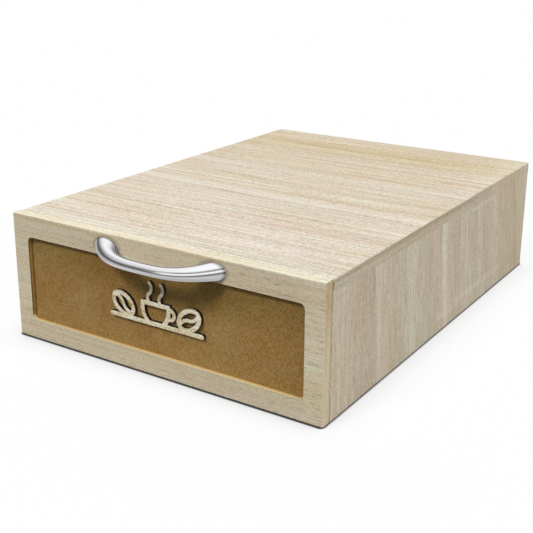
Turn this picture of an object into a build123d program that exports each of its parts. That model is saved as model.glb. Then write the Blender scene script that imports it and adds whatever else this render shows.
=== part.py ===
from build123d import *
import math
import os

# Wooden drawer box for coffee capsules, in millimetres.
# X runs left to right, the drawer opens towards -Y, Z is up.
# The origin is the middle of the cabinet's underside, on the floor.

# Cabinet
cabinet_width = 270.0
cabinet_depth = 369.0
cabinet_height = 98.5
board = 9.0
edge_ease = 0.4

# Drawer front
front_board = 9.0
front_seam = 0.4
front_floor_gap = 0.5
window_side_margin = 14.3
window_top_margin = 16.6
window_bottom_margin = 15.8
window_corner = 4.0
window_recess = 3.5
rebate_width = 3.0
inlay_fit = 0.1

# Cut-out ornament on the inlay: a cup with steam between two beans
motif_width = 83.0
motif_height = 32.8
motif_lift = 5.15
motif_thickness = 2.5
motif_stroke = 3.4
motif_fine_stroke = 2.6
cup_top_width = 25.0
cup_foot_width = 13.0
cup_depth = 16.5
cup_ear_width = 10.5
cup_ear_height = 10.0
steam_spacing = 10.0
steam_sway = 1.7
bean_length = 23.0
bean_breadth = 16.5
bean_spacing = 58.0
bean_tilt = 35.0

# Bow handle, an arch that droops a little between two flared feet, set a little below its screws
handle_hole_spacing = 96.0
handle_toe = 1.7
handle_reach = 18.0
handle_bend_power = 3.1
handle_offset = 4.2
handle_drop = 8.5
handle_foot_drop = 0.7
handle_droop = 2.0
handle_bar_height = 7.3
handle_bar_depth = 8.9
handle_foot_height = 12.4
handle_foot_depth = 15.5
handle_flare_power = 2.6
handle_facets = 36
handle_overrun_share = 0.2

# Handle screws, driven from the back of the front board
screw_diameter = 4.0
screw_tap_fit = 0.1
screw_hole_diameter = 4.6
screw_head_diameter = 7.8
screw_head_height = 2.6
screw_sink_diameter = 8.4
screw_sink_depth = 3.4
screw_grip = 5.0
screw_tap_spare = 0.8
screw_slot_width = 1.1
screw_slot_length = 4.4
screw_slot_depth = 1.4

# Drawer box
drawer_board = 6.0
drawer_side_gap = 1.0
drawer_run_gap = 0.3
drawer_head_gap = 4.0
drawer_rear_gap = 2.5
box_joint_depth = 2.0
drawer_bottom_board = 3.5
drawer_bottom_lift = 5.0
bottom_groove_depth = 3.0
groove_fit = 0.1

# Capsule lanes
lane_count = 4
divider_board = 3.0
divider_height = 40.0
divider_groove_depth = 1.5

os.makedirs("parts", exist_ok=True)


def facing_front(y, height=0.0):
    """Plane across the drawer at y, seen from the front: X to the right, Z up, normal to -Y."""
    return Plane(origin=(0, y, height), x_dir=(1, 0, 0), z_dir=(0, -1, 0))


def facing_back(y, height=0.0):
    """Plane across the drawer at y, seen from behind, normal to +Y."""
    return Plane(origin=(0, y, height), x_dir=(-1, 0, 0), z_dir=(0, 1, 0))


def facing_side(x):
    """Upright plane along the drawer at x: Y to the right, Z up, normal to +X."""
    return Plane.YZ.offset(x)


def save(piece, name):
    """Label a finished piece and write it as a STEP file of the same name."""
    piece.label = name
    export_step(piece, "parts/" + name + ".step")


# Places worked out from the sizes
cabinet_front_y = -cabinet_depth / 2
cabinet_back_y = cabinet_depth / 2
inner_width = cabinet_width - 2 * board
inner_height = cabinet_height - 2 * board

front_rear_y = cabinet_front_y - front_seam
front_face_y = front_rear_y - front_board
front_height = cabinet_height - front_floor_gap

window_width = cabinet_width - 2 * window_side_margin
window_height = cabinet_height - window_top_margin - window_bottom_margin
window_middle = window_bottom_margin + window_height / 2
inlay_thickness = front_board - window_recess
inlay_face_y = front_face_y + window_recess
handle_height = cabinet_height - handle_drop

box_width = inner_width - 2 * drawer_side_gap
box_base = board + drawer_run_gap
box_height = inner_height - drawer_run_gap - drawer_head_gap
box_front_y = front_rear_y
box_back_y = cabinet_back_y - board - drawer_rear_gap
box_length = box_back_y - box_front_y
box_inner_width = box_width - 2 * drawer_board
box_inner_length = box_length - 2 * drawer_board
box_middle_y = (box_front_y + box_back_y) / 2
box_floor = box_base + drawer_bottom_lift + drawer_bottom_board
lane_width = (box_inner_width - (lane_count - 1) * divider_board) / lane_count
lane_pitch = lane_width + divider_board
divider_xs = [(i + 1 - lane_count / 2) * lane_pitch for i in range(lane_count - 1)]


# Top panel, lying over the sides and the back
with BuildPart() as top_panel:
    with BuildSketch(Plane.XY.offset(cabinet_height - board)):
        Rectangle(cabinet_width, cabinet_depth)
    extrude(amount=board)
    chamfer(top_panel.edges().group_by(Axis.Z)[-1], edge_ease)
save(top_panel.part, "top_panel")

# Side panels, standing on the floor under the top panel
for side, side_name in ((-1, "left"), (1, "right")):
    with BuildPart() as side_panel:
        with BuildSketch(facing_side(side * cabinet_width / 2)):
            with Locations((0, (cabinet_height - board) / 2)):
                Rectangle(cabinet_depth, cabinet_height - board)
        extrude(amount=-side * board)
        outer_edges = side_panel.faces().sort_by(Axis.X)[-1 if side > 0 else 0].edges()
        chamfer(outer_edges.sort_by(Axis.Z)[:-1], edge_ease)
    save(side_panel.part, side_name + "_side_panel")

# Bottom panel, between the sides and flush with their lower edges
with BuildPart() as bottom_panel:
    with BuildSketch(Plane.XY):
        Rectangle(inner_width, cabinet_depth)
    extrude(amount=board)
save(bottom_panel.part, "bottom_panel")

# Back panel, closed in by the other four
with BuildPart() as back_panel:
    with BuildSketch(facing_front(cabinet_back_y, cabinet_height / 2)):
        Rectangle(inner_width, inner_height)
    extrude(amount=board)
save(back_panel.part, "back_panel")

# Drawer front: a board with a routed window, rebated behind for the inlay
with BuildPart() as drawer_front_frame:
    with BuildSketch(facing_front(front_rear_y)):
        with Locations((0, front_floor_gap + front_height / 2)):
            Rectangle(cabinet_width, front_height)
        with Locations((0, window_middle)):
            RectangleRounded(window_width, window_height, window_corner, mode=Mode.SUBTRACT)
    extrude(amount=front_board)
    with BuildSketch(facing_front(front_rear_y, window_middle)):
        RectangleRounded(window_width + 2 * rebate_width, window_height + 2 * rebate_width,
                         window_corner + rebate_width)
    extrude(amount=inlay_thickness, mode=Mode.SUBTRACT)
    with Locations(facing_back(front_rear_y, handle_height)):
        with Locations((-handle_offset, 0)):
            with GridLocations(handle_hole_spacing, 0, 2, 1):
                CounterBoreHole(screw_hole_diameter / 2, screw_sink_diameter / 2, screw_sink_depth)
    outline_edges = drawer_front_frame.faces().sort_by(Axis.Y)[0].outer_wire().edges()
    chamfer(outline_edges, edge_ease)
save(drawer_front_frame.part, "drawer_front_frame")

# Fibreboard inlay, flush with the back of the front board
with BuildPart() as front_inlay:
    with BuildSketch(facing_front(front_rear_y, window_middle)):
        RectangleRounded(window_width + 2 * (rebate_width - inlay_fit),
                         window_height + 2 * (rebate_width - inlay_fit),
                         window_corner + rebate_width - inlay_fit)
    extrude(amount=inlay_thickness)
save(front_inlay.part, "front_inlay")


def ring(length, breadth, stroke, tilt=0.0):
    """Elliptical ring of even stroke, added to the sketch in hand."""
    Ellipse(length / 2, breadth / 2, rotation=tilt)
    Ellipse(length / 2 - stroke, breadth / 2 - stroke, rotation=tilt, mode=Mode.SUBTRACT)


def wave(start, end, sway, stroke):
    """S-shaped stroke with round ends from start to end, as its own sketch."""
    chord = Vector(*end) - Vector(*start)
    across = Vector(-chord.Y, chord.X).normalized() * sway
    quarters = [Vector(*start) + chord * (k / 4) for k in range(5)]
    with BuildSketch(mode=Mode.PRIVATE) as stroke_sketch:
        with BuildLine():
            ThreePointArc(quarters[0], quarters[1] + across, quarters[2])
            ThreePointArc(quarters[2], quarters[3] - across, quarters[4])
        trace(line_width=stroke)
        with Locations(quarters[0], quarters[2], quarters[4]):
            Circle(stroke / 2)
    return stroke_sketch.sketch


motif_base_height = window_middle + motif_lift - motif_height / 2
bean_angle = math.radians(bean_tilt)
bean_half_height = math.hypot(bean_length / 2 * math.sin(bean_angle),
                              bean_breadth / 2 * math.cos(bean_angle))
bean_centre_height = motif_stroke / 2 + bean_half_height
cup_rim_height = motif_stroke / 2 + cup_depth
steam_base = cup_rim_height - motif_stroke / 2
steam_top = motif_height - motif_fine_stroke / 2
bean_crease = (bean_length - motif_stroke) / 2

# Ornament: tray line, cup with its ear and steam, and a bean on each side, in one piece
with BuildPart() as front_motif:
    with BuildSketch(facing_front(inlay_face_y, motif_base_height)):
        with Locations((0, motif_stroke / 2)):
            SlotOverall(motif_width, motif_stroke)
        with BuildSketch(mode=Mode.PRIVATE) as cup_ear:
            with Locations((cup_top_width / 2, cup_rim_height - cup_ear_height / 2 - motif_stroke / 2)):
                ring(cup_ear_width, cup_ear_height, motif_fine_stroke)
        add(cup_ear.sketch)
        with BuildSketch(mode=Mode.PRIVATE) as cup_bowl:
            with BuildLine():
                rim = Line((-cup_top_width / 2, cup_rim_height), (cup_top_width / 2, cup_rim_height))
                foot = Line((-cup_foot_width / 2, 0), (cup_foot_width / 2, 0))
                RadiusArc(rim @ 1, foot @ 1, cup_depth)
                RadiusArc(foot @ 0, rim @ 0, cup_depth)
            make_face()
        add(cup_bowl.sketch)
        offset(cup_bowl.sketch, amount=-motif_stroke, mode=Mode.SUBTRACT)
        for sign in (-1, 1):
            steam_x = sign * steam_spacing / 2
            add(wave((steam_x, steam_base), (steam_x, steam_top), steam_sway, motif_fine_stroke))
            with Locations((sign * bean_spacing / 2, bean_centre_height)):
                ring(bean_length, bean_breadth, motif_stroke, sign * bean_tilt)
            crease = wave((-bean_crease, 0), (bean_crease, 0), steam_sway, motif_fine_stroke)
            with Locations(Location((sign * bean_spacing / 2, bean_centre_height), sign * bean_tilt)):
                add(crease)
    extrude(amount=motif_thickness)
save(front_motif.part, "front_motif")


def handle_section(share):
    """Plane and radii of the handle's section at a share of its half span, -1 and 1 at the feet."""
    half_span = handle_hole_spacing / 2 - handle_toe
    distance = abs(share)
    out = handle_reach * (1 - distance ** handle_bend_power)
    steepness = handle_bend_power * handle_reach / half_span * distance ** (handle_bend_power - 1)
    slope = math.copysign(steepness, share)
    place = (handle_offset + half_span * share, front_face_y - out,
             handle_height - handle_foot_drop - handle_droop * out / handle_reach)
    flare = distance ** handle_flare_power
    depth = handle_bar_depth + (handle_foot_depth - handle_bar_depth) * flare
    height = handle_bar_height + (handle_foot_height - handle_bar_height) * flare
    return Plane(origin=place, x_dir=(slope, -1, 0), z_dir=(1, slope, 0)), depth / 2, height / 2


# Bow handle, cut flat where it meets the front board, with a tapped hole in each foot
with BuildPart() as handle:
    for facet in range(handle_facets + 1):
        share = (1 + handle_overrun_share) * (2 * facet / handle_facets - 1)
        section_plane, depth_radius, height_radius = handle_section(share)
        with BuildSketch(section_plane):
            Ellipse(depth_radius, height_radius)
    loft(ruled=True)
    split(bisect_by=facing_front(front_face_y), keep=Keep.TOP)
    with BuildSketch(facing_front(front_face_y, handle_height)):
        with Locations((handle_offset, 0)):
            with GridLocations(handle_hole_spacing, 0, 2, 1):
                Circle(screw_diameter / 2 + screw_tap_fit)
    extrude(amount=screw_grip + screw_tap_spare, mode=Mode.SUBTRACT)
save(handle.part, "handle")

# Pan head screws with a cross slot, sunk into the back of the front board
screw_seat_y = front_rear_y - screw_sink_depth
screw_shank_length = front_board - screw_sink_depth + screw_grip
with BuildPart() as handle_screws:
    with Locations(facing_back(screw_seat_y, handle_height)):
        with Locations((-handle_offset, 0)):
            with GridLocations(handle_hole_spacing, 0, 2, 1):
                Cylinder(screw_diameter / 2, screw_shank_length, align=(Align.CENTER, Align.CENTER, Align.MAX))
                Cylinder(screw_head_diameter / 2, screw_head_height,
                         align=(Align.CENTER, Align.CENTER, Align.MIN))
    head_rims = handle_screws.edges().group_by(Axis.Y)[-1]
    chamfer(head_rims, screw_head_height / 2)
    with BuildSketch(facing_back(screw_seat_y + screw_head_height, handle_height)):
        with Locations((-handle_offset, 0)):
            with GridLocations(handle_hole_spacing, 0, 2, 1):
                Rectangle(screw_slot_length, screw_slot_width)
                Rectangle(screw_slot_width, screw_slot_length)
    extrude(amount=-screw_slot_depth, mode=Mode.SUBTRACT)
save(handle_screws.part, "handle_screws")


def cross_board(face_y):
    """Front or back board of the drawer box, let into both sides, with grooves for the lanes.

    face_y is the face towards the inside of the drawer.
    """
    inwards = 1 if face_y < box_middle_y else -1
    with BuildPart() as piece:
        with BuildSketch(facing_front(face_y, box_base + box_height / 2)):
            Rectangle(box_inner_width + 2 * box_joint_depth, box_height)
        extrude(amount=inwards * drawer_board)
        groove_height = drawer_bottom_board + 2 * groove_fit
        groove_middle = box_base + drawer_bottom_lift + drawer_bottom_board / 2
        with BuildSketch(facing_front(face_y, groove_middle)):
            Rectangle(box_inner_width + 2 * box_joint_depth, groove_height)
        extrude(amount=inwards * bottom_groove_depth, mode=Mode.SUBTRACT)
        with BuildSketch(facing_front(face_y, box_floor + divider_height / 2)):
            with Locations(*[(x, 0) for x in divider_xs]):
                Rectangle(divider_board + 2 * groove_fit, divider_height + 2 * groove_fit)
        extrude(amount=inwards * divider_groove_depth, mode=Mode.SUBTRACT)
    return piece.part


save(cross_board(box_front_y + drawer_board), "drawer_inner_front")
save(cross_board(box_back_y - drawer_board), "drawer_back")

# Drawer sides, with housings for the front and back boards, the bottom and the cross divider
for side, side_name in ((-1, "left"), (1, "right")):
    inner_x = side * box_inner_width / 2
    with BuildPart() as drawer_side:
        with BuildSketch(facing_side(inner_x)):
            with Locations((box_middle_y, box_base + box_height / 2)):
                Rectangle(box_length, box_height)
        extrude(amount=side * drawer_board)
        with BuildSketch(facing_side(inner_x)):
            with Locations((box_middle_y, box_base + box_height / 2)):
                with GridLocations(box_length - drawer_board, 0, 2, 1):
                    Rectangle(drawer_board, box_height)
        extrude(amount=side * box_joint_depth, mode=Mode.SUBTRACT)
        with BuildSketch(facing_side(inner_x)):
            with Locations((box_middle_y, box_floor - drawer_bottom_board / 2)):
                Rectangle(box_inner_length + 2 * bottom_groove_depth, drawer_bottom_board + 2 * groove_fit)
        extrude(amount=side * bottom_groove_depth, mode=Mode.SUBTRACT)
        with BuildSketch(facing_side(inner_x)):
            with Locations((box_middle_y, box_floor + divider_height / 2)):
                Rectangle(divider_board + 2 * groove_fit, divider_height + 2 * groove_fit)
        extrude(amount=side * divider_groove_depth, mode=Mode.SUBTRACT)
    save(drawer_side.part, "drawer_" + side_name + "_side")

# Drawer bottom, held in grooves all round
with BuildPart() as drawer_bottom:
    with BuildSketch(Plane.XY.offset(box_floor - drawer_bottom_board)):
        with Locations((0, box_middle_y)):
            Rectangle(box_inner_width + 2 * (bottom_groove_depth - groove_fit),
                      box_inner_length + 2 * (bottom_groove_depth - groove_fit))
    extrude(amount=drawer_bottom_board)
save(drawer_bottom.part, "drawer_bottom")

# Lane dividers, slotted from above where the cross divider drops over them
slot_width = divider_board + 2 * groove_fit
lap_height = divider_height / 2
for divider_number, divider_x in enumerate(divider_xs, start=1):
    with BuildPart() as lane_divider:
        with BuildSketch(facing_side(divider_x - divider_board / 2)):
            with Locations((box_middle_y, box_floor + divider_height / 2)):
                Rectangle(box_inner_length + 2 * (divider_groove_depth - groove_fit), divider_height)
            with Locations((box_middle_y, box_floor + divider_height)):
                Rectangle(slot_width, 2 * lap_height, mode=Mode.SUBTRACT)
        extrude(amount=divider_board)
    save(lane_divider.part, "lane_divider_" + str(divider_number))

# Cross divider, slotted from below
with BuildPart() as cross_divider:
    with BuildSketch(facing_front(box_middle_y + divider_board / 2, box_floor)):
        with Locations((0, divider_height / 2)):
            Rectangle(box_inner_width + 2 * (divider_groove_depth - groove_fit), divider_height)
        with Locations(*[(x, 0) for x in divider_xs]):
            Rectangle(slot_width, 2 * (lap_height + groove_fit), mode=Mode.SUBTRACT)
    extrude(amount=divider_board)
save(cross_divider.part, "cross_divider")
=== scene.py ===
import math

import bmesh
import bpy
from mathutils import Matrix, Vector


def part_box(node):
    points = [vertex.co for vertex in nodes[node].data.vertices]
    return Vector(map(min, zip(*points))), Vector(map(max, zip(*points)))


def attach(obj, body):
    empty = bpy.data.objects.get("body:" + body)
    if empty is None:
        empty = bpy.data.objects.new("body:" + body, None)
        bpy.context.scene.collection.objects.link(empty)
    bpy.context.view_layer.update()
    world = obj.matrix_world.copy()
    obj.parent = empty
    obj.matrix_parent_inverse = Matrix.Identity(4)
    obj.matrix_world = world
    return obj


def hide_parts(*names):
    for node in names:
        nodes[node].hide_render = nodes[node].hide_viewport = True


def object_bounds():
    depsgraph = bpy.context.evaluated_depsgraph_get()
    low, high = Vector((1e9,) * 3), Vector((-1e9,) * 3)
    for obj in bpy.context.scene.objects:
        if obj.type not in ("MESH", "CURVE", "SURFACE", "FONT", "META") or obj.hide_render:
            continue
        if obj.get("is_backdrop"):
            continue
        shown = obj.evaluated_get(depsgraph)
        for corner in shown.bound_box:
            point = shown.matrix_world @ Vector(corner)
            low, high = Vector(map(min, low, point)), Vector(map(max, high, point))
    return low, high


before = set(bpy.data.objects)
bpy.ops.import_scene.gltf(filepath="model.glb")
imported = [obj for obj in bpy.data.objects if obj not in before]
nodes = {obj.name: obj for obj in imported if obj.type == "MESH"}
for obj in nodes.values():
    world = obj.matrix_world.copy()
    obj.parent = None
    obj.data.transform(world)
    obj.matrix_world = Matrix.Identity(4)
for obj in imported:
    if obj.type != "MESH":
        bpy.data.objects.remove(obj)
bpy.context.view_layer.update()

MM = 0.001

# Millimetres that a board's place in the noise moves by for each 1 of its seed
seed_step = (311.0, 173.0, 97.0)

# Places of the cabinet's main boards, in millimetres
cabinet_height = 98.5
board = 9.0
front_face_y = -193.9
front_rear_y = -184.9
cabinet_front_y = -184.5
cabinet_back_y = 184.5
joint_height = cabinet_height - board

# Window in the front board, and how far the fibreboard lies behind its face
window_half_width = 120.7
window_half_height = 33.05
window_middle = 48.85
window_top = window_middle + window_half_height
window_depth = 3.5

# Thin boards inside the drawer
bottom_board = 3.5
bottom_middle = 16.05
divider_board = 3.0
cross_middle = -5.95

# Bow handle, the same arch as the solid, in millimetres
handle_hole_span = 48.0
handle_half_span = 46.3
handle_reach = 18.0
handle_bend_power = 3.1
handle_offset = 4.2
handle_height = 89.3
handle_screw_height = 90.0
handle_droop = 2.0
handle_bar = (8.9, 7.3)
handle_foot = (15.5, 12.4)
handle_flare_power = 2.6
handle_foot_half_width = 10.4
handle_foot_half_height = 6.4

# Share of the top's light that the other faces get under the studio's lamps
front_light = 0.66
side_light = 0.637
cut_out_light = 0.62

# The few tones of each board, in screen values, that its bands are set from
top_tones = {"pale": (231, 221, 203), "cream": (227, 215, 195), "plain": (223, 209, 189),
             "tan": (220, 205, 180), "straw": (216, 200, 173), "brown": (216, 199, 166)}
side_tones = {"bright": (196, 188, 169), "pale": (187, 177, 158), "plain": (184, 172, 152),
              "dull": (179, 168, 148), "warm": (181, 167, 143), "brown": (177, 163, 143)}
sawn_tones = {"bright": (194, 183, 163), "plain": (179, 168, 147), "dull": (175, 163, 141), "dark": (172, 159, 137)}
# The front face's two tones set a painted shading across its height
front_shading_tones = {"pale": (185, 175, 151), "dull": (177, 165, 140)}
end_tones_and_gap_shade = {"pale": (190, 177, 149), "brown": (187, 170, 138), "dark": (166, 148, 116)}
scorch_tones = {"tan": (148, 117, 67), "brown": (120, 95, 52), "dark": (86, 65, 32)}


def tone(red, green, blue):
    """Linear colour from its usual screen values, 0 to 255."""
    return tuple(((c / 255 + 0.055) / 1.055) ** 2.4 if c > 10 else c / 3295 for c in (red, green, blue)) + (1.0,)


def albedo(red, green, blue, light=1.0):
    """Colour of a surface that shows these screen values under this share of the top's light."""
    return tuple(min(c / light, 0.95) for c in tone(red, green, blue)[:3]) + (1.0,)


class Net:
    """Node tree of a material or world, built one node at a time. An input is a number, a tuple or an output."""

    def __init__(self, owner):
        owner.use_nodes = True
        self.owner = owner
        self.tree = owner.node_tree
        self.tree.nodes.clear()

    def add(self, kind, inputs=None, **settings):
        node = self.tree.nodes.new(kind)
        for key, value in settings.items():
            setattr(node, key, value)
        for key, value in (inputs or {}).items():
            self.join(value, node.inputs[key])
        return node

    def join(self, value, socket):
        if isinstance(value, bpy.types.NodeSocket):
            self.tree.links.new(value, socket)
        elif socket.type == "VECTOR":
            socket.default_value = value[:3]
        else:
            socket.default_value = value

    def math(self, operation, a, b=0.0, c=0.0):
        return self.add("ShaderNodeMath", {0: a, 1: b, 2: c}, operation=operation).outputs[0]

    def product(self, *values):
        result = values[0]
        for value in values[1:]:
            result = self.math("MULTIPLY", result, value)
        return result

    def vector(self, operation, a, b=(0.0, 0.0, 0.0)):
        return self.add("ShaderNodeVectorMath", {0: a, 1: b}, operation=operation).outputs[0]

    def scaled(self, vector, factor):
        return self.add("ShaderNodeVectorMath", {0: vector, "Scale": factor}, operation="SCALE").outputs[0]

    def parts(self, vector):
        return self.add("ShaderNodeSeparateXYZ", {0: vector}).outputs

    def joined(self, x, y, z):
        return self.add("ShaderNodeCombineXYZ", {0: x, 1: y, 2: z}).outputs[0]

    def noise(self, vector, scale=1.0, detail=2.0, roughness=0.5):
        return self.add("ShaderNodeTexNoise", {"Vector": vector, "Scale": scale, "Detail": detail,
                                               "Roughness": roughness}).outputs[0]

    def mix(self, factor, a, b):
        node = self.add("ShaderNodeMix", data_type="RGBA")
        self.join(factor, node.inputs[0])
        self.join(a, node.inputs[6])
        self.join(b, node.inputs[7])
        return node.outputs[2]

    def ramp(self, value, stops):
        node = self.add("ShaderNodeValToRGB", {0: value})
        elements = node.color_ramp.elements
        while len(elements) < len(stops):
            elements.new(0.5)
        for element, (position, colour) in zip(elements, stops):
            element.position = position
            element.color = colour
        return node.outputs[0]

    def step(self, value, low, high):
        """0 below low, 1 above high, smooth between; the other way round where low is above high."""
        node = self.add("ShaderNodeMapRange", {0: value, 1: low, 2: high, 3: 0.0, 4: 1.0},
                        interpolation_type="SMOOTHSTEP")
        return node.outputs[0]

    def swing(self, value, amount, middle=1.0):
        """Value of a noise, 0.5 on average, made to swing round middle by about amount."""
        return self.math("MULTIPLY_ADD", value, 2 * amount, middle - amount)

    def facing(self, axis, sign=0):
        """1 on faces whose normal lies along an axis, 0 elsewhere; sign picks one of its two directions."""
        part = self.parts(self.add("ShaderNodeTexCoord").outputs["Normal"])["XYZ".index(axis)]
        part = self.math("MULTIPLY", part, sign) if sign else self.math("ABSOLUTE", part)
        return self.step(part, 0.8, 0.95)

    def place(self, seed=0.0):
        """Object coordinates in millimetres, moved by seed so that boards differ."""
        millimetres = self.scaled(self.add("ShaderNodeTexCoord").outputs["Object"], 1000.0)
        return self.vector("ADD", millimetres, tuple(seed * step for step in seed_step)) if seed else millimetres

    def finish(self, colour, roughness, height=None, distance=0.1, strength=1.0, **sockets):
        """Surface with a bump of this height in millimetres; other shader inputs by their names."""
        shader = self.add("ShaderNodeBsdfPrincipled", {"Base Color": colour, "Roughness": roughness})
        for key, value in sockets.items():
            shader.inputs[key.replace("_", " ")].default_value = value
        if height is not None:
            bump = self.add("ShaderNodeBump", {"Strength": strength, "Distance": distance * MM, "Height": height})
            self.tree.links.new(bump.outputs[0], shader.inputs["Normal"])
        output = self.add("ShaderNodeOutputMaterial")
        self.tree.links.new(shader.outputs[0], output.inputs[0])
        return self.owner


def material_net(name):
    return Net(bpy.data.materials.new(name))


class Grain:
    """Wood grain along one axis, with the values that a board's colour and bump are made from."""

    def __init__(self, net, axis, seed=0.0, waviness=3.0, place=None):
        place = net.place(seed) if place is None else place
        stretch = [1.0, 1.0, 1.0]
        stretch["XYZ".index(axis)] = 0.0
        self.net = net
        self.axis = axis
        slow = self.stretched(place, 0.12)
        sway = net.add("ShaderNodeTexNoise", {"Vector": net.scaled(slow, 0.045), "Scale": 1.0, "Detail": 1.0})
        offset = net.scaled(net.vector("SUBTRACT", sway.outputs[1], (0.5, 0.5, 0.5)), waviness * 2)
        self.place = net.vector("ADD", place, net.vector("MULTIPLY", offset, tuple(stretch)))

    def stretched(self, place, along):
        factors = [1.0, 1.0, 1.0]
        factors["XYZ".index(self.axis)] = along
        return self.net.vector("MULTIPLY", place, tuple(factors))

    def lines(self, width, along, detail=2.0, roughness=0.5):
        """Noise drawn out along the grain: width in millimetres across, along as a share of that."""
        return self.net.noise(self.net.scaled(self.stretched(self.place, along), 1.0 / width), 1.0, detail, roughness)


def wood(net, grain, base, streak=0.05, fine=1.0, pore=0.5, tint=1.0, length=0.012):
    """Colour, roughness and height of bare wood.

    base, a colour or an output, carries the board's bands. streak, fine, pore and tint are the strengths of wide
    streaks, fine lines, dark pores and changes of hue. The fine lines are shorter where length is greater.
    """
    hair = grain.lines(1.2, length, 1.0)
    vein = net.step(grain.lines(4.0, length / 2, 1.0), 0.60, 0.74)
    fleck = net.noise(net.scaled(grain.stretched(grain.place, 0.5), 0.95), 1.0, 1.0)
    lines = net.math("ADD", net.swing(grain.lines(9.0, 0.02, 1.0), streak, 0.0),
                     net.math("ADD", net.swing(grain.lines(3.0, length, 1.0), 0.16 * fine, 0.0),
                              net.swing(hair, 0.30 * fine, 0.0)))
    lines = net.math("MULTIPLY_ADD", vein, -0.07 * fine, lines)
    change = net.math("ADD", lines, net.swing(fleck, 0.44 * fine, 0.0))
    warm = net.math("ADD", net.swing(grain.lines(13.0, 0.03, 1.0), 0.10 * tint, 0.0),
                    net.swing(grain.lines(3.6, 0.04, 1.0), 0.11 * tint, 0.0))
    yellow = net.math("ADD", net.swing(grain.lines(7.0, 0.04, 1.0), 0.08 * tint, 0.0),
                      net.swing(grain.lines(1.6, 0.3, 1.0), 0.07 * tint, 0.0))
    red = net.math("MULTIPLY_ADD", change, 0.9, 1.0)
    green = net.math("ADD", net.math("MULTIPLY_ADD", lines, 0.1, 1.0), net.math("MULTIPLY_ADD", warm, -0.75, change))
    blue = net.math("SUBTRACT", net.math("MULTIPLY_ADD", lines, 0.5, net.math("MULTIPLY_ADD", change, 1.15, 1.0)),
                    net.math("ADD", warm, yellow))
    colour = net.vector("MULTIPLY", base, net.joined(red, green, blue))
    dash = net.noise(net.scaled(grain.stretched(grain.place, 0.1), 1.15), 1.0, 1.0)
    clump = net.step(grain.lines(9.0, 0.1, 1.0), 0.36, 0.6)
    pores = net.math("MULTIPLY", net.step(dash, 0.58, 0.72), net.math("MULTIPLY_ADD", clump, 0.75, 0.25))
    colour = net.mix(net.math("MULTIPLY", pores, pore), colour, net.vector("MULTIPLY", colour, (0.42, 0.28, 0.15)))
    roughness = net.math("ADD", net.swing(hair, 0.08, 0.64), net.math("MULTIPLY", pores, 0.15))
    height = net.math("SUBTRACT", net.swing(fleck, 0.3, 0.5), net.math("MULTIPLY", pores, 0.6))
    return colour, roughness, height


def toned(tones, light, *stops):
    """Stops of a colour ramp, from pairs of a place and the name of a tone, under this share of the top's light."""
    return [(place, albedo(*tones[name], light)) for place, name in stops]


def share(net, value, low, high):
    """Value between low and high as a share from 0 to 1."""
    return net.math("DIVIDE", net.math("SUBTRACT", value, low), high - low)


def bands(net, grain, axis, low, high, stops):
    """Bands of colour across a board, at shares of its breadth."""
    value = net.parts(grain.place)["XYZ".index(axis)]
    return net.ramp(share(net, value, low, high), stops)


def line(net, value, middle, half_width, soft):
    """1 on a thin line where value is near middle."""
    away = net.math("ABSOLUTE", net.math("SUBTRACT", value, middle))
    return net.step(away, half_width + soft, half_width)


def oval(net, x, y, half_width, half_height):
    """0 in the middle of an oval and 1 on its rim, for places x and y taken from its middle."""
    parts = [net.math("POWER", net.math("ABSOLUTE", net.math("DIVIDE", place, half)), 2.0)
             for place, half in ((x, half_width), (y, half_height))]
    return net.math("ADD", *parts)


def board_edge(net):
    """The top panel's sawn edge, with fine lines along it."""
    grain = Grain(net, "Y", 2.0, 0.6)
    level = share(net, net.parts(net.place())[2], joint_height, cabinet_height)
    wavy = net.math("ADD", level, net.swing(grain.lines(4.0, 0.03, 1.0), 0.05, 0.0))
    colour = net.ramp(wavy, toned(
        sawn_tones, front_light, (0.0, "dull"), (0.1, "plain"), (0.3, "dull"), (0.48, "plain"), (0.56, "dark"),
        (0.68, "plain"), (0.8, "dark"), (0.9, "plain"), (1.0, "bright")))
    return wood(net, grain, colour, 0.03, 0.8, 0.3)


def mix_all(net, factor, first, second):
    """Mixes colour, roughness and height of two finishes."""
    colour = net.mix(factor, first[0], second[0])
    values = [net.add("ShaderNodeMix", {0: factor, 2: a, 3: b}).outputs[0] for a, b in zip(first[1:], second[1:])]
    return [colour] + values


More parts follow.
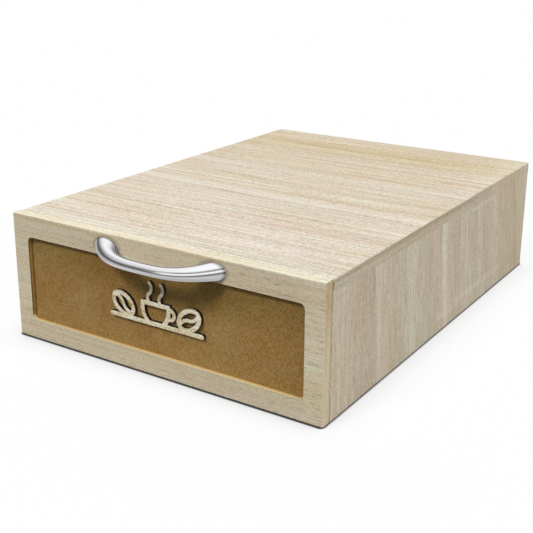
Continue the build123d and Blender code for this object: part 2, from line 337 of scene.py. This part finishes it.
def top_material():
    net = material_net("top_wood")
    grain = Grain(net, "X", 0.0, 2.2)
    base = bands(net, grain, "Y", cabinet_front_y, cabinet_back_y, toned(
        top_tones, 1.0, (0.0, "pale"), (0.035, "cream"), (0.09, "pale"), (0.12, "cream"), (0.15, "cream"),
        (0.22, "plain"), (0.28, "cream"), (0.35, "plain"), (0.377, "pale"), (0.415, "tan"), (0.45, "pale"),
        (0.47, "tan"), (0.55, "plain"), (0.69, "tan"), (0.74, "plain"), (0.80, "straw"), (0.86, "brown"),
        (0.90, "brown"), (0.935, "tan"), (0.955, "straw"), (1.0, "plain")))
    x, y, z = net.parts(net.place())[:3]

    # A wavy stain near the rear, three dark growth lines and a paler right end
    sway = net.math("ADD", net.swing(grain.lines(30.0, 0.3, 1.0), 5.0, 0.0), net.math("MULTIPLY", x, 0.02))
    along = net.step(net.math("ABSOLUTE", net.math("ADD", x, 12.0)), 120.0, 60.0)
    stain = net.product(line(net, net.math("ADD", y, sway), 137.0, 1.5, 6.0), along, 0.55)
    base = net.mix(stain, base, albedo(196, 172, 132))
    straight = net.math("MULTIPLY_ADD", x, -0.015, y)
    for middle, half_width, strength in ((84.5, 0.8, 0.35), (-22.0, 1.5, 0.22), (48.0, 0.6, 0.22)):
        growth = net.product(line(net, straight, middle, half_width, 1.5), strength)
        base = net.mix(growth, base, albedo(188, 166, 132))
    end = net.product(net.step(x, 100.0, 133.0), net.step(y, 10.0, 90.0), 0.5)
    base = net.mix(end, base, albedo(232, 221, 200))
    flat = wood(net, grain, base, 0.06, 1.1, 0.45)

    # The right edge turns into the side's wood towards the rear, and a dark mark lies at its front corner
    edge = mix_all(net, net.step(y, 50.0, 130.0), board_edge(net), side_face(net))
    at_front = net.step(y, cabinet_front_y + 1.9, cabinet_front_y + 0.7)
    corner_mark = net.product(at_front, line(net, z, 93.6, 1.4, 1.4), 0.6)
    edge[0] = net.mix(corner_mark, edge[0], tone(80, 60, 40))
    colour, roughness, height = mix_all(net, net.facing("X"), flat, edge)
    return net.finish(colour, roughness, height, 0.06, 0.5, Specular_IOR_Level=0.2)


def side_face(net, seed=0.0):
    """Upright strips of a side panel, whose grain leans a little to the back on its way down."""
    x, y, z = net.parts(net.place(seed))[:3]
    moved_y, moved_z = seed * seed_step[1], seed * seed_step[2]
    middle_lean, lean_growth = 0.155, 0.0008
    lean = net.math("MULTIPLY_ADD", y, lean_growth, middle_lean - moved_y * lean_growth)
    low = net.math("SUBTRACT", z, cabinet_height / 2 + moved_z)
    grain = Grain(net, "Z", 0.0, 1.2, net.joined(x, net.math("MULTIPLY_ADD", low, lean, y), z))
    base = bands(net, grain, "Y", cabinet_front_y + moved_y, cabinet_back_y + moved_y, toned(
        side_tones, side_light, (0.0, "plain"), (0.06, "plain"), (0.09, "brown"), (0.16, "brown"), (0.18, "pale"),
        (0.21, "plain"), (0.26, "dull"), (0.33, "pale"), (0.40, "dull"), (0.47, "plain"), (0.488, "bright"),
        (0.51, "plain"), (0.56, "dull"), (0.61, "pale"), (0.66, "dull"), (0.70, "pale"), (0.74, "dull"),
        (0.795, "pale"), (0.825, "warm"), (0.93, "warm"), (1.0, "plain")))
    return wood(net, grain, base, 0.06, 0.68, 0.35, tint=0.95, length=0.06)


def smudge(net, y, z, middle, half_length, level, thickness):
    """1 on a faint level rub mark at a side, patchy along its length."""
    away = net.math("ABSOLUTE", net.math("SUBTRACT", y, middle))
    along = net.step(away, half_length, half_length * 0.8)
    mark = net.math("MULTIPLY", line(net, z, level, thickness * 0.3, thickness), along)
    patchy = net.noise(net.scaled(net.joined(0.0, net.math("MULTIPLY", y, 0.4), z), 0.3), 1.0, 1.0)
    return net.math("MULTIPLY", mark, net.step(patchy, 0.25, 0.55))


def side_material(name, seed):
    net = material_net(name)
    colour, roughness, height = side_face(net, seed)
    y, z = net.parts(net.place())[1:3]

    # The joint under the top panel fades to the rear; behind the drawer front, painted shade of the gap shows in
    # places and grows deeper towards the bottom
    joint = net.product(line(net, z, joint_height, 0.08, 0.25), net.step(y, 120.0, 40.0), 0.12)
    colour = net.mix(joint, colour, tone(90, 74, 54))
    gap_shade = net.step(y, cabinet_front_y + 0.9, cabinet_front_y + 0.2)
    uneven = net.step(net.noise(net.scaled(net.joined(0.0, 0.0, z), 0.07), 1.0, 1.0), 0.35, 0.65)
    lower_gap_shade = net.math("MULTIPLY", net.step(z, 28.0, 12.0), 0.4)
    gap_shade = net.math("MULTIPLY", gap_shade, net.math("MAXIMUM", net.math("MULTIPLY_ADD", uneven, 0.35, 0.05), lower_gap_shade))
    colour = net.mix(gap_shade, colour, tone(96, 76, 48))

    upper = smudge(net, y, z, 72.0, 28.0, 85.5, 1.4)
    lower = net.math("ADD", smudge(net, y, z, 72.0, 60.0, 15.5, 3.0), smudge(net, y, z, 8.0, 26.0, 12.0, 2.5))
    marks = net.product(net.math("ADD", upper, lower), 0.4)
    colour = net.mix(marks, colour, albedo(203, 196, 180, front_light))
    return net.finish(colour, roughness, height, 0.06, 0.5, Specular_IOR_Level=0.2)


def front_material():
    net = material_net("front_wood")
    grain = Grain(net, "X", 0.0, 1.0)
    x, y, z = net.parts(net.place())[:3]
    # Painted shade on the face: lighter a third of the way up, darker towards its top and bottom, and darker from the
    # middle towards the right except on the right stile
    base = bands(net, grain, "Z", 0.0, cabinet_height, toned(
        front_shading_tones, front_light, (0.0, "dull"), (0.35, "pale"), (1.0, "dull")))
    rightward_shade = net.math("MULTIPLY", net.step(x, -60.0, 110.0), net.step(x, 123.0, 117.0))
    base = net.scaled(base, net.math("MULTIPLY_ADD", rightward_shade, -0.05, 1.0))
    coarser = net.step(x, 40.0, 130.0)
    face = wood(net, grain, base, 0.06, 0.57, net.math("MULTIPLY_ADD", coarser, 0.2, 0.35), 1.2)

    # Contact shade around the handle's feet
    beside = net.math("SUBTRACT", net.math("ABSOLUTE", net.math("SUBTRACT", x, handle_offset)), handle_half_span)
    above = net.math("SUBTRACT", z, handle_height)
    ring = oval(net, beside, above, handle_foot_half_width, handle_foot_half_height)
    contact = net.math("MULTIPLY", net.step(ring, 1.9, 1.05), 0.45)
    face = (net.mix(contact, face[0], net.scaled(face[0], 0.3)), face[1], face[2])

    # The board's top edge and ends; towards the rear the ends are painted darker as shade of the gap behind the board
    top_grain = Grain(net, "X", 5.0, 0.4)
    top_edge = wood(net, top_grain, albedo(241, 234, 211), 0.03, 0.7, 0.3)
    side_grain = Grain(net, "Z", 6.0, 0.5)
    side_base = net.ramp(share(net, y, front_face_y, front_rear_y), toned(
        end_tones_and_gap_shade, front_light, (0.0, "pale"), (0.6, "pale"), (0.8, "brown"), (1.0, "dark")))
    browner = net.mix(net.step(z, 45.0, 88.0), (1.0, 1.0, 1.0, 1.0), (0.87, 0.82, 0.72, 1.0))
    side_base = net.vector("MULTIPLY", side_base, browner)
    side_edge = wood(net, side_grain, side_base, 0.05, 0.6, 0.5)
    finish = mix_all(net, net.facing("Z", 1), face, top_edge)
    finish = mix_all(net, net.facing("X"), finish, side_edge)

    # The window's routed walls: scorched brown, with painted light: walls that face up get a painted lit copy, palest
    # at the front edge and darkest by the fibreboard
    inside_x = net.step(net.math("ABSOLUTE", x), window_half_width + 0.3, window_half_width + 0.1)
    inside_z = net.step(net.math("ABSOLUTE", net.math("SUBTRACT", z, window_middle)),
                        window_half_height + 0.3, window_half_height + 0.1)
    back_from_face = net.step(y, front_face_y + 0.02, front_face_y + 0.06)
    inside = net.product(inside_x, inside_z, back_from_face)
    wall_grain = Grain(net, "Y", 7.0, 0.3)
    depth = share(net, y, front_face_y, front_face_y + window_depth)
    upward_light = 0.95
    painted_lit_wall = net.ramp(depth, [
        (0.0, albedo(222, 208, 172, upward_light)), (0.25, albedo(214, 190, 138, upward_light)),
        (0.75, albedo(204, 172, 112, upward_light)), (1.0, albedo(150, 118, 64, upward_light))])
    scorched = net.ramp(depth, toned(
        scorch_tones, front_light, (0.0, "brown"), (0.12, "dark"), (0.32, "brown"), (0.5, "tan"), (0.78, "tan"),
        (0.95, "brown")))
    upward = net.parts(net.add("ShaderNodeTexCoord").outputs["Normal"])[2]
    wall_base = net.mix(net.step(upward, 0.02, 0.45), scorched, painted_lit_wall)
    wall = wood(net, wall_grain, wall_base, 0.03, 0.4, 0.3)
    colour, roughness, height = mix_all(net, inside, finish, wall)
    return net.finish(colour, roughness, height, 0.06, 0.5, Specular_IOR_Level=0.2)


def fibreboard_material():
    """Brown fibreboard: noise of four sizes, pale and dark flecks, and shade from the window and handle."""
    net = material_net("fibreboard")
    place = net.place()
    x, _, z = net.parts(place)[:3]
    cloud = net.noise(net.scaled(place, 0.03), 1.0, 2.0, 0.6)
    mottle = net.noise(net.scaled(place, 0.14), 1.0, 2.0, 0.65)
    speck = net.noise(net.scaled(place, 0.5), 1.0, 1.0, 0.6)
    grit = net.noise(net.scaled(place, 1.1), 1.0, 1.0, 0.6)
    change = net.math("ADD", net.swing(cloud, 0.12), net.swing(mottle, 0.15, 0.0))
    change = net.math("ADD", change, net.math("ADD", net.swing(speck, 0.30, 0.0), net.swing(grit, 0.54, 0.0)))
    change = net.math("SUBTRACT", change, 1.0)
    reddish = net.noise(net.vector("ADD", net.scaled(place, 0.11), (37.0, 11.0, 5.0)), 1.0, 2.0, 0.6)
    warm = net.math("ADD", net.swing(reddish, 0.16, 0.0), net.swing(cloud, 0.20, 0.0))
    red = net.math("MULTIPLY_ADD", change, 0.85, 1.0)
    green = net.math("ADD", net.math("MULTIPLY_ADD", change, 1.05, 1.0), net.math("MULTIPLY", warm, 0.6))
    blue = net.math("ADD", net.math("MULTIPLY_ADD", change, 1.7, 1.0), warm)
    colour = net.vector("MULTIPLY", tone(164, 130, 76), net.joined(red, green, blue))
    flecks = net.noise(net.vector("MULTIPLY", place, (0.9, 0.9, 0.5)), 1.0, 1.0)
    colour = net.mix(net.math("MULTIPLY", net.step(flecks, 0.60, 0.76), 0.3), colour, tone(196, 164, 110))
    dark = net.noise(net.vector("MULTIPLY", place, (0.5, 0.8, 1.2)), 1.0, 1.0)
    colour = net.mix(net.math("MULTIPLY", net.step(dark, 0.60, 0.76), 0.3), colour, tone(112, 80, 40))

    # Contact shade under the window's upper edge and beside its ends
    ragged = net.swing(net.noise(net.scaled(net.joined(x, 0.0, 0.0), 0.35), 1.0, 1.0), 1.6, 0.0)
    high = net.step(net.math("ADD", z, ragged), window_top - 2.4, window_top - 0.8)
    beside = net.step(net.math("ABSOLUTE", x), window_half_width - 1.8, window_half_width - 0.5)
    corner = net.math("MAXIMUM", net.math("MULTIPLY", high, 0.75), net.math("MULTIPLY", beside, 0.1))
    colour = net.mix(corner, colour, net.scaled(colour, 0.2))

    # Soft shade over the upper half, and an oval one under the handle
    upper_depth = net.math("MULTIPLY_ADD", net.step(x, -20.0, 60.0), 0.06, 0.22)
    upper = net.math("MULTIPLY", net.step(z, 44.0, 82.0), upper_depth)
    under = oval(net, net.math("SUBTRACT", x, 8.0), net.math("SUBTRACT", z, 68.0), 78.0, 26.0)
    under = net.math("MULTIPLY", net.step(under, 1.0, 0.1), 0.22)
    rightward = net.math("MULTIPLY_ADD", net.step(x, 0.0, 80.0), -0.05, 1.0)
    dimmer = net.product(net.math("SUBTRACT", 1.0, upper), net.math("SUBTRACT", 1.0, under), rightward)
    colour = net.vector("MULTIPLY", colour, net.joined(dimmer, dimmer, net.math("POWER", dimmer, 1.4)))
    roughness = net.swing(speck, 0.1, 0.8)
    height = net.math("ADD", net.swing(grit, 0.4, 0.5), net.swing(mottle, 0.2, 0.0))
    return net.finish(colour, roughness, height, 0.1, 0.6, Specular_IOR_Level=0.25)


def motif_material():
    """Plywood face with burnt edges, painted nearly black as they also carry their shade."""
    net = material_net("motif_plywood")
    light = cut_out_light
    grain = Grain(net, "X", 8.0, 0.8)
    hue = net.step(grain.lines(5.0, 0.3, 1.0), 0.4, 0.6)
    base = net.mix(hue, albedo(193, 187, 165, light), albedo(182, 173, 144, light))
    face = wood(net, grain, base, 0.05, 1.2, 0.5)
    side_grain = Grain(net, "Y", 9.0, 0.2)
    # Burnt edge colour, darkened further by painted shade
    side = wood(net, side_grain, tone(28, 16, 8), 0.1, 1.0, 0.4)
    colour, roughness, height = mix_all(net, net.facing("Y", -1), side, face)
    return net.finish(colour, roughness, height, 0.08, 0.5, Specular_IOR_Level=0.1)


def plain_wood_material(name, axis, seed, colour=(219, 206, 180)):
    net = material_net(name)
    grain = Grain(net, axis, seed, 2.0)
    hue = net.step(grain.lines(24.0, 0.05, 1.0), 0.38, 0.62)
    base = net.mix(hue, albedo(*colour), albedo(*[c - 13 for c in colour]))
    colour, roughness, height = wood(net, grain, base, 0.05, 0.75, 0.35)
    return net.finish(colour, roughness, height, 0.06, 0.5, Specular_IOR_Level=0.2)


def plywood_material(name, axis, thickness_axis, middle, thickness, seed):
    """Thin plywood: face grain along axis, and three plies seen on its edges."""
    net = material_net(name)
    grain = Grain(net, axis, seed, 2.5)
    hue = net.step(grain.lines(30.0, 0.08, 1.0), 0.38, 0.62)
    base = net.mix(hue, tone(223, 205, 170), tone(212, 190, 150))
    face = wood(net, grain, base, 0.05, 0.9, 0.4)
    value = net.parts(net.place())["XYZ".index(thickness_axis)]
    level = share(net, value, middle - thickness / 2, middle + thickness / 2)
    outer, glue, core = tone(212, 190, 152), tone(110, 78, 46), tone(172, 136, 92)
    edge_base = net.ramp(level, [
        (0.0, outer), (0.30, outer), (0.335, glue), (0.37, core),
        (0.63, core), (0.665, glue), (0.70, outer), (1.0, outer)])
    edge = wood(net, grain, edge_base, 0.05, 0.9, 0.5)
    colour, roughness, height = mix_all(net, net.facing(thickness_axis), edge, face)
    return net.finish(colour, roughness, height, 0.1, 0.5, Specular_IOR_Level=0.2)


def metal_material(name, colour, roughness, rim=False):
    """Satin metal; with rim, painted shade darkens it where the handle's feet meet the front board."""
    net = material_net(name)
    place = net.place()
    brush = net.noise(net.vector("MULTIPLY", place, (0.6, 6.0, 6.0)), 1.0, 2.0, 0.6)
    cloud = net.noise(net.scaled(place, 0.2), 1.0, 2.0)
    shade = net.scaled(tone(*colour), net.math("ADD", net.swing(brush, 0.03), net.swing(cloud, 0.02, 0.0)))
    if rim:
        # Painted shade on the metal next to the front board
        near = net.step(net.parts(place)[1], front_face_y - 2.6, front_face_y - 0.2)
        shade = net.mix(net.math("MULTIPLY", near, 0.75), shade, net.scaled(shade, 0.2))
    rough = net.math("ADD", net.swing(brush, 0.06, roughness), net.swing(cloud, 0.03, 0.0))
    return net.finish(shade, rough, brush, 0.02, 0.25, Metallic=1.0)


def dress(name, material):
    """Puts a material in every slot of a solid."""
    for slot in nodes[name].material_slots:
        slot.material = material


dress("top_panel", top_material())
dress("right_side_panel", side_material("right_side_wood", 0.0))
dress("left_side_panel", side_material("left_side_wood", 1.0))
dress("bottom_panel", plain_wood_material("bottom_wood", "Y", 11.0))
dress("back_panel", plain_wood_material("back_wood", "X", 12.0, (212, 199, 173)))
dress("drawer_front_frame", front_material())
dress("front_inlay", fibreboard_material())
dress("front_motif", motif_material())
dress("drawer_inner_front", plain_wood_material("box_front_wood", "X", 13.0))
dress("drawer_back", plain_wood_material("box_back_wood", "X", 14.0))
dress("drawer_left_side", plain_wood_material("box_left_wood", "Y", 15.0))
dress("drawer_right_side", plain_wood_material("box_right_wood", "Y", 16.0))
dress("drawer_bottom", plywood_material("box_bottom_plywood", "Y", "Z", bottom_middle, bottom_board, 17.0))
for number in (1, 2, 3):
    low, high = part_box("lane_divider_%d" % number)
    middle = (low[0] + high[0]) / 2 / MM
    dress("lane_divider_%d" % number,
          plywood_material("lane_plywood_%d" % number, "Y", "X", middle, divider_board, 17.0 + number))
dress("cross_divider", plywood_material("cross_plywood", "X", "Y", cross_middle, divider_board, 21.0))
dress("handle_screws", metal_material("screw_zinc", (214, 214, 216), 0.32))


def piece(name, mesh_maker, body, material):
    """New mesh object in the CAD frame, made by a function that fills a bmesh in millimetres."""
    mesh = bpy.data.meshes.new(name)
    shape = bmesh.new()
    mesh_maker(shape)
    bmesh.ops.transform(shape, matrix=Matrix.Scale(MM, 4), verts=shape.verts)
    bmesh.ops.recalc_face_normals(shape, faces=shape.faces)
    shape.to_mesh(mesh)
    shape.free()
    thing = bpy.data.objects.new(name, mesh)
    bpy.context.collection.objects.link(thing)
    mesh.materials.append(material)
    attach(thing, body)
    return thing


def bow_handle(shape):
    """Smooth rings along the arch, cut flat by the front's plane, with a tapped hole in each foot."""
    around = 72
    steps = 180
    overrun = 1.2
    weld_distance = 0.03
    hole_radius = 2.1
    hole_depth = 5.8
    rim_rounding = 0.35
    sharp_angle = math.radians(40)
    turns = [2 * math.pi * k / around for k in range(around)]
    rings = []
    for i in range(steps + 1):
        along = overrun * (2 * i / steps - 1)
        distance = abs(along)
        out = handle_reach * (1 - distance ** handle_bend_power)
        steepness = handle_bend_power * handle_reach / handle_half_span * distance ** (handle_bend_power - 1)
        across = Vector((math.copysign(steepness, along), -1, 0)).normalized()
        centre = Vector((handle_offset + handle_half_span * along, front_face_y - out,
                         handle_height - handle_droop * out / handle_reach))
        flare = distance ** handle_flare_power
        depth, height = [(bar + (foot - bar) * flare) / 2 for bar, foot in zip(handle_bar, handle_foot)]
        rings.append([shape.verts.new(centre + across * depth * math.cos(t) + Vector((0, 0, height * math.sin(t))))
                      for t in turns])
    for a, b in zip(rings, rings[1:]):
        for k in range(around):
            shape.faces.new((a[k], a[(k + 1) % around], b[(k + 1) % around], b[k]))
    bmesh.ops.bisect_plane(shape, geom=shape.verts[:] + shape.edges[:] + shape.faces[:],
                           plane_co=(0, front_face_y, 0), plane_no=(0, 1, 0), clear_outer=True)
    bmesh.ops.remove_doubles(shape, verts=shape.verts, dist=weld_distance)
    rims = []
    for side in (-1, 1):
        rim = [e for e in shape.edges if e.is_boundary and (e.verts[0].co.x - handle_offset) * side > 0]
        loops = []
        for depth in (0.0, hole_depth):
            loops.append([shape.verts.new((handle_offset + side * handle_hole_span + hole_radius * math.cos(t),
                                           front_face_y - depth, handle_screw_height + hole_radius * math.sin(t)))
                          for t in turns])
        mouth = [shape.edges.new((loops[0][k], loops[0][(k + 1) % around])) for k in range(around)]
        bmesh.ops.bridge_loops(shape, edges=rim + mouth)
        for k in range(around):
            shape.faces.new((loops[0][k], loops[0][(k + 1) % around], loops[1][(k + 1) % around], loops[1][k]))
        shape.faces.new(loops[1])
        rims += rim
    bmesh.ops.bevel(shape, geom=rims, offset=rim_rounding, segments=3, profile=0.5, affect="EDGES")
    for face in shape.faces:
        face.smooth = True
    for edge in shape.edges:
        edge.smooth = edge.calc_face_angle(0.0) < sharp_angle


# The satin metal mirrors the studio alone, so the other solids are hidden from glossy rays
for thing in nodes.values():
    thing.visible_glossy = False
satin = metal_material("handle_satin", (243, 243, 245), 0.18, rim=True)
handle = piece("bow_handle", bow_handle, "drawer", satin)
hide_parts("handle")


def greys(*stops):
    """Stops of a colour ramp, from pairs of a place and a grey level."""
    return [(place, (level, level, level, 1.0)) for place, level in stops]


# Floor in metres: white to the camera with soft contact shade, graded grey to glossy rays, and grey to the rest
plain_white = (1.0, 1.0, 1.0, 1.0)
contact_reach, shade_reach = 0.0034, 0.03
side_start, side_end = 0.1345, 0.1365
shadow_share = 0.06
below_handle = (0.004, -0.21, 0.0)
floor_size = 20.0
floor_drop = 0.00005
floor_net = material_net("floor")
path = floor_net.add("ShaderNodeLightPath").outputs

# What the camera sees: contact shade and a wider one, both weaker right of the cabinet, and a share of the shadows
near, wide = [floor_net.add("ShaderNodeAmbientOcclusion", {"Distance": distance}, samples=count).outputs["AO"]
              for distance, count in ((contact_reach, 40), (shade_reach, 12))]
floor_place = floor_net.add("ShaderNodeTexCoord").outputs["Object"]
beside = floor_net.step(floor_net.parts(floor_place)[0], side_start, side_end)
depth = floor_net.math("MULTIPLY_ADD", beside, -0.42, 0.98)
near = floor_net.math("SUBTRACT", 1.0, floor_net.math("MULTIPLY", depth, floor_net.step(near, 0.86, 0.66)))
wide = floor_net.ramp(wide, greys(
    (0.5, 0.74), (0.58, 0.80), (0.665, 0.90), (0.785, 0.95), (0.957, 0.99), (1.0, 1.0)))
wide = floor_net.mix(floor_net.math("MULTIPLY", beside, 0.4), wide, plain_white)
white = floor_net.add("ShaderNodeEmission", {"Strength": floor_net.math("MULTIPLY", near, wide)})
shown = floor_net.add("ShaderNodeBsdfDiffuse", {"Color": (0.98, 0.98, 0.98, 1.0)})
seen = floor_net.add("ShaderNodeMixShader", {0: shadow_share, 1: white.outputs[0], 2: shown.outputs[0]})

# What glossy rays see: pale around the point below the handle, and dark far from it except to the left
away = floor_net.vector("SUBTRACT", floor_place, below_handle)
reach = floor_net.add("ShaderNodeVectorMath", {0: away}, operation="LENGTH").outputs["Value"]
leftward = floor_net.step(floor_net.math("DIVIDE", floor_net.parts(away)[0], reach), -0.5, -0.9)
far = floor_net.math("MULTIPLY", floor_net.step(reach, 0.32, 0.44), floor_net.math("SUBTRACT", 1.0, leftward))
plain = floor_net.ramp(reach, greys((0.04, 0.48), (0.12, 0.66), (0.2, 0.56), (0.3, 0.48)))
mirrored = floor_net.mix(far, plain, (0.09, 0.09, 0.09, 1.0))
reflected = floor_net.add("ShaderNodeEmission", {"Color": mirrored, "Strength": 1.0})
bounce = floor_net.add("ShaderNodeBsdfDiffuse", {"Color": (0.30, 0.30, 0.30, 1.0)})
other = floor_net.add("ShaderNodeMixShader", {
    0: path["Is Glossy Ray"], 1: bounce.outputs[0], 2: reflected.outputs[0]})
whole = floor_net.add("ShaderNodeMixShader", {
    0: path["Is Camera Ray"], 1: other.outputs[0], 2: seen.outputs[0]})
floor_net.add("ShaderNodeOutputMaterial", {0: whole.outputs[0]})

floor_mesh = bpy.data.meshes.new("floor")
floor_shape = bmesh.new()
bmesh.ops.create_grid(floor_shape, x_segments=1, y_segments=1, size=floor_size)
floor_shape.to_mesh(floor_mesh)
floor_shape.free()
floor = bpy.data.objects.new("floor", floor_mesh)
floor.location = (0, 0, -floor_drop)
floor_mesh.materials.append(floor_net.owner)
bpy.context.collection.objects.link(floor)
floor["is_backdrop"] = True

# World: white to the camera, an even fill, and a graded sky that only glossy rays see
fill_level = 0.17
world = bpy.data.worlds.new("studio")
bpy.context.scene.world = world
sky = Net(world)
path = sky.add("ShaderNodeLightPath").outputs
x, y, z = sky.parts(sky.add("ShaderNodeTexCoord").outputs["Generated"])[:3]
left, middle, right, behind_left, behind_right = [
    sky.ramp(z, greys(*stops)) for stops in (
        ((0.0, 0.30), (0.06, 0.10), (0.30, 0.10), (0.45, 0.25), (0.60, 0.50), (0.80, 0.85), (0.95, 1.08)),
        ((0.0, 0.10), (0.29, 0.10), (0.45, 0.14), (0.59, 0.34), (0.72, 0.48), (0.83, 0.75), (0.95, 1.08)),
        ((0.0, 0.10), (0.10, 0.40), (0.22, 0.92), (0.58, 1.10),
         (0.68, 0.22), (0.80, 0.20), (0.90, 0.90), (1.0, 1.08)),
        ((0.0, 0.55), (0.05, 0.50), (0.14, 0.08), (0.24, 0.10), (0.42, 0.70), (0.62, 1.08), (1.0, 1.08)),
        ((0.0, 0.34), (0.25, 0.42), (0.45, 0.80), (0.60, 1.08), (1.0, 1.08)))]
span = sky.math("SQRT", sky.math("ADD", sky.math("MULTIPLY", x, x), sky.math("MULTIPLY", y, y)))
sideways = sky.math("DIVIDE", x, sky.math("MAXIMUM", span, 0.001))
mirrored = sky.mix(sky.step(sideways, -0.75, -0.95), sky.mix(sky.step(sideways, -0.62, -0.42), middle, right), left)
behind = sky.mix(sky.step(x, -0.2, -0.6), behind_right, behind_left)
mirrored = sky.mix(sky.step(y, 0.1, 0.45), mirrored, behind)
light = sky.add("ShaderNodeBackground", {"Color": plain_white, "Strength": fill_level})
shine = sky.add("ShaderNodeBackground", {"Color": mirrored, "Strength": 1.0})
white = sky.add("ShaderNodeBackground", {"Color": plain_white, "Strength": 1.0})
other = sky.add("ShaderNodeMixShader", {
    0: path["Is Glossy Ray"], 1: light.outputs[0], 2: shine.outputs[0]})
whole = sky.add("ShaderNodeMixShader", {
    0: path["Is Camera Ray"], 1: other.outputs[0], 2: white.outputs[0]})
sky.add("ShaderNodeOutputWorld", {0: whole.outputs[0]})


def sun(name, turn, height, level, spread):
    """Soft sun at a turn from the front towards the right and a height, in degrees, with its level square on."""
    lamp = bpy.data.lights.new(name, "SUN")
    lamp.energy = level * math.pi
    lamp.angle = math.radians(spread)
    thing = bpy.data.objects.new(name, lamp)
    turn, height = math.radians(turn), math.radians(height)
    direction = Vector((math.sin(turn) * math.cos(height), -math.cos(turn) * math.cos(height), math.sin(height)))
    thing.rotation_euler = direction.to_track_quat("Z", "Y").to_euler()
    thing.visible_glossy = False
    bpy.context.collection.objects.link(thing)


# Three soft suns: from the upper left front, from the right, and a weak one from the rear left
sun("front", -18, 48, 0.63, 14)
sun("right", 82, 34, 0.51, 28)
sun("rear", 225, 18, 0.22, 50)

# Camera at the photograph's angle: lengths in metres, focal length also in the photograph's pixels
photo_size = 533
focal_pixels = 958.67
centre = Vector((0, -0.0047, 0.04925))
distance, leftward, upward = 0.81645, 0.02527, 0.01447
turn, tilt, roll = math.radians(32.83), math.radians(17.22), math.radians(0.38)
back = Vector((math.sin(turn) * math.cos(tilt), -math.cos(turn) * math.cos(tilt), math.sin(tilt)))
right = Vector((math.cos(turn), math.sin(turn), 0))
up = back.cross(right)
right, up = (right * math.cos(roll) + up * math.sin(roll), up * math.cos(roll) - right * math.sin(roll))
camera_data = bpy.data.cameras.new("camera")
camera_data.sensor_width = 36.0
camera_data.lens = focal_pixels / photo_size * camera_data.sensor_width
camera_data.shift_y = -0.08
camera = bpy.data.objects.new("camera", camera_data)
place = centre - leftward * right + upward * up + distance * back
camera.matrix_world = Matrix.Translation(place) @ Matrix((right, up, back)).transposed().to_4x4()
bpy.context.collection.objects.link(camera)
bpy.context.scene.camera = camera
bpy.context.scene.view_settings.view_transform = "Standard"

low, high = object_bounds()
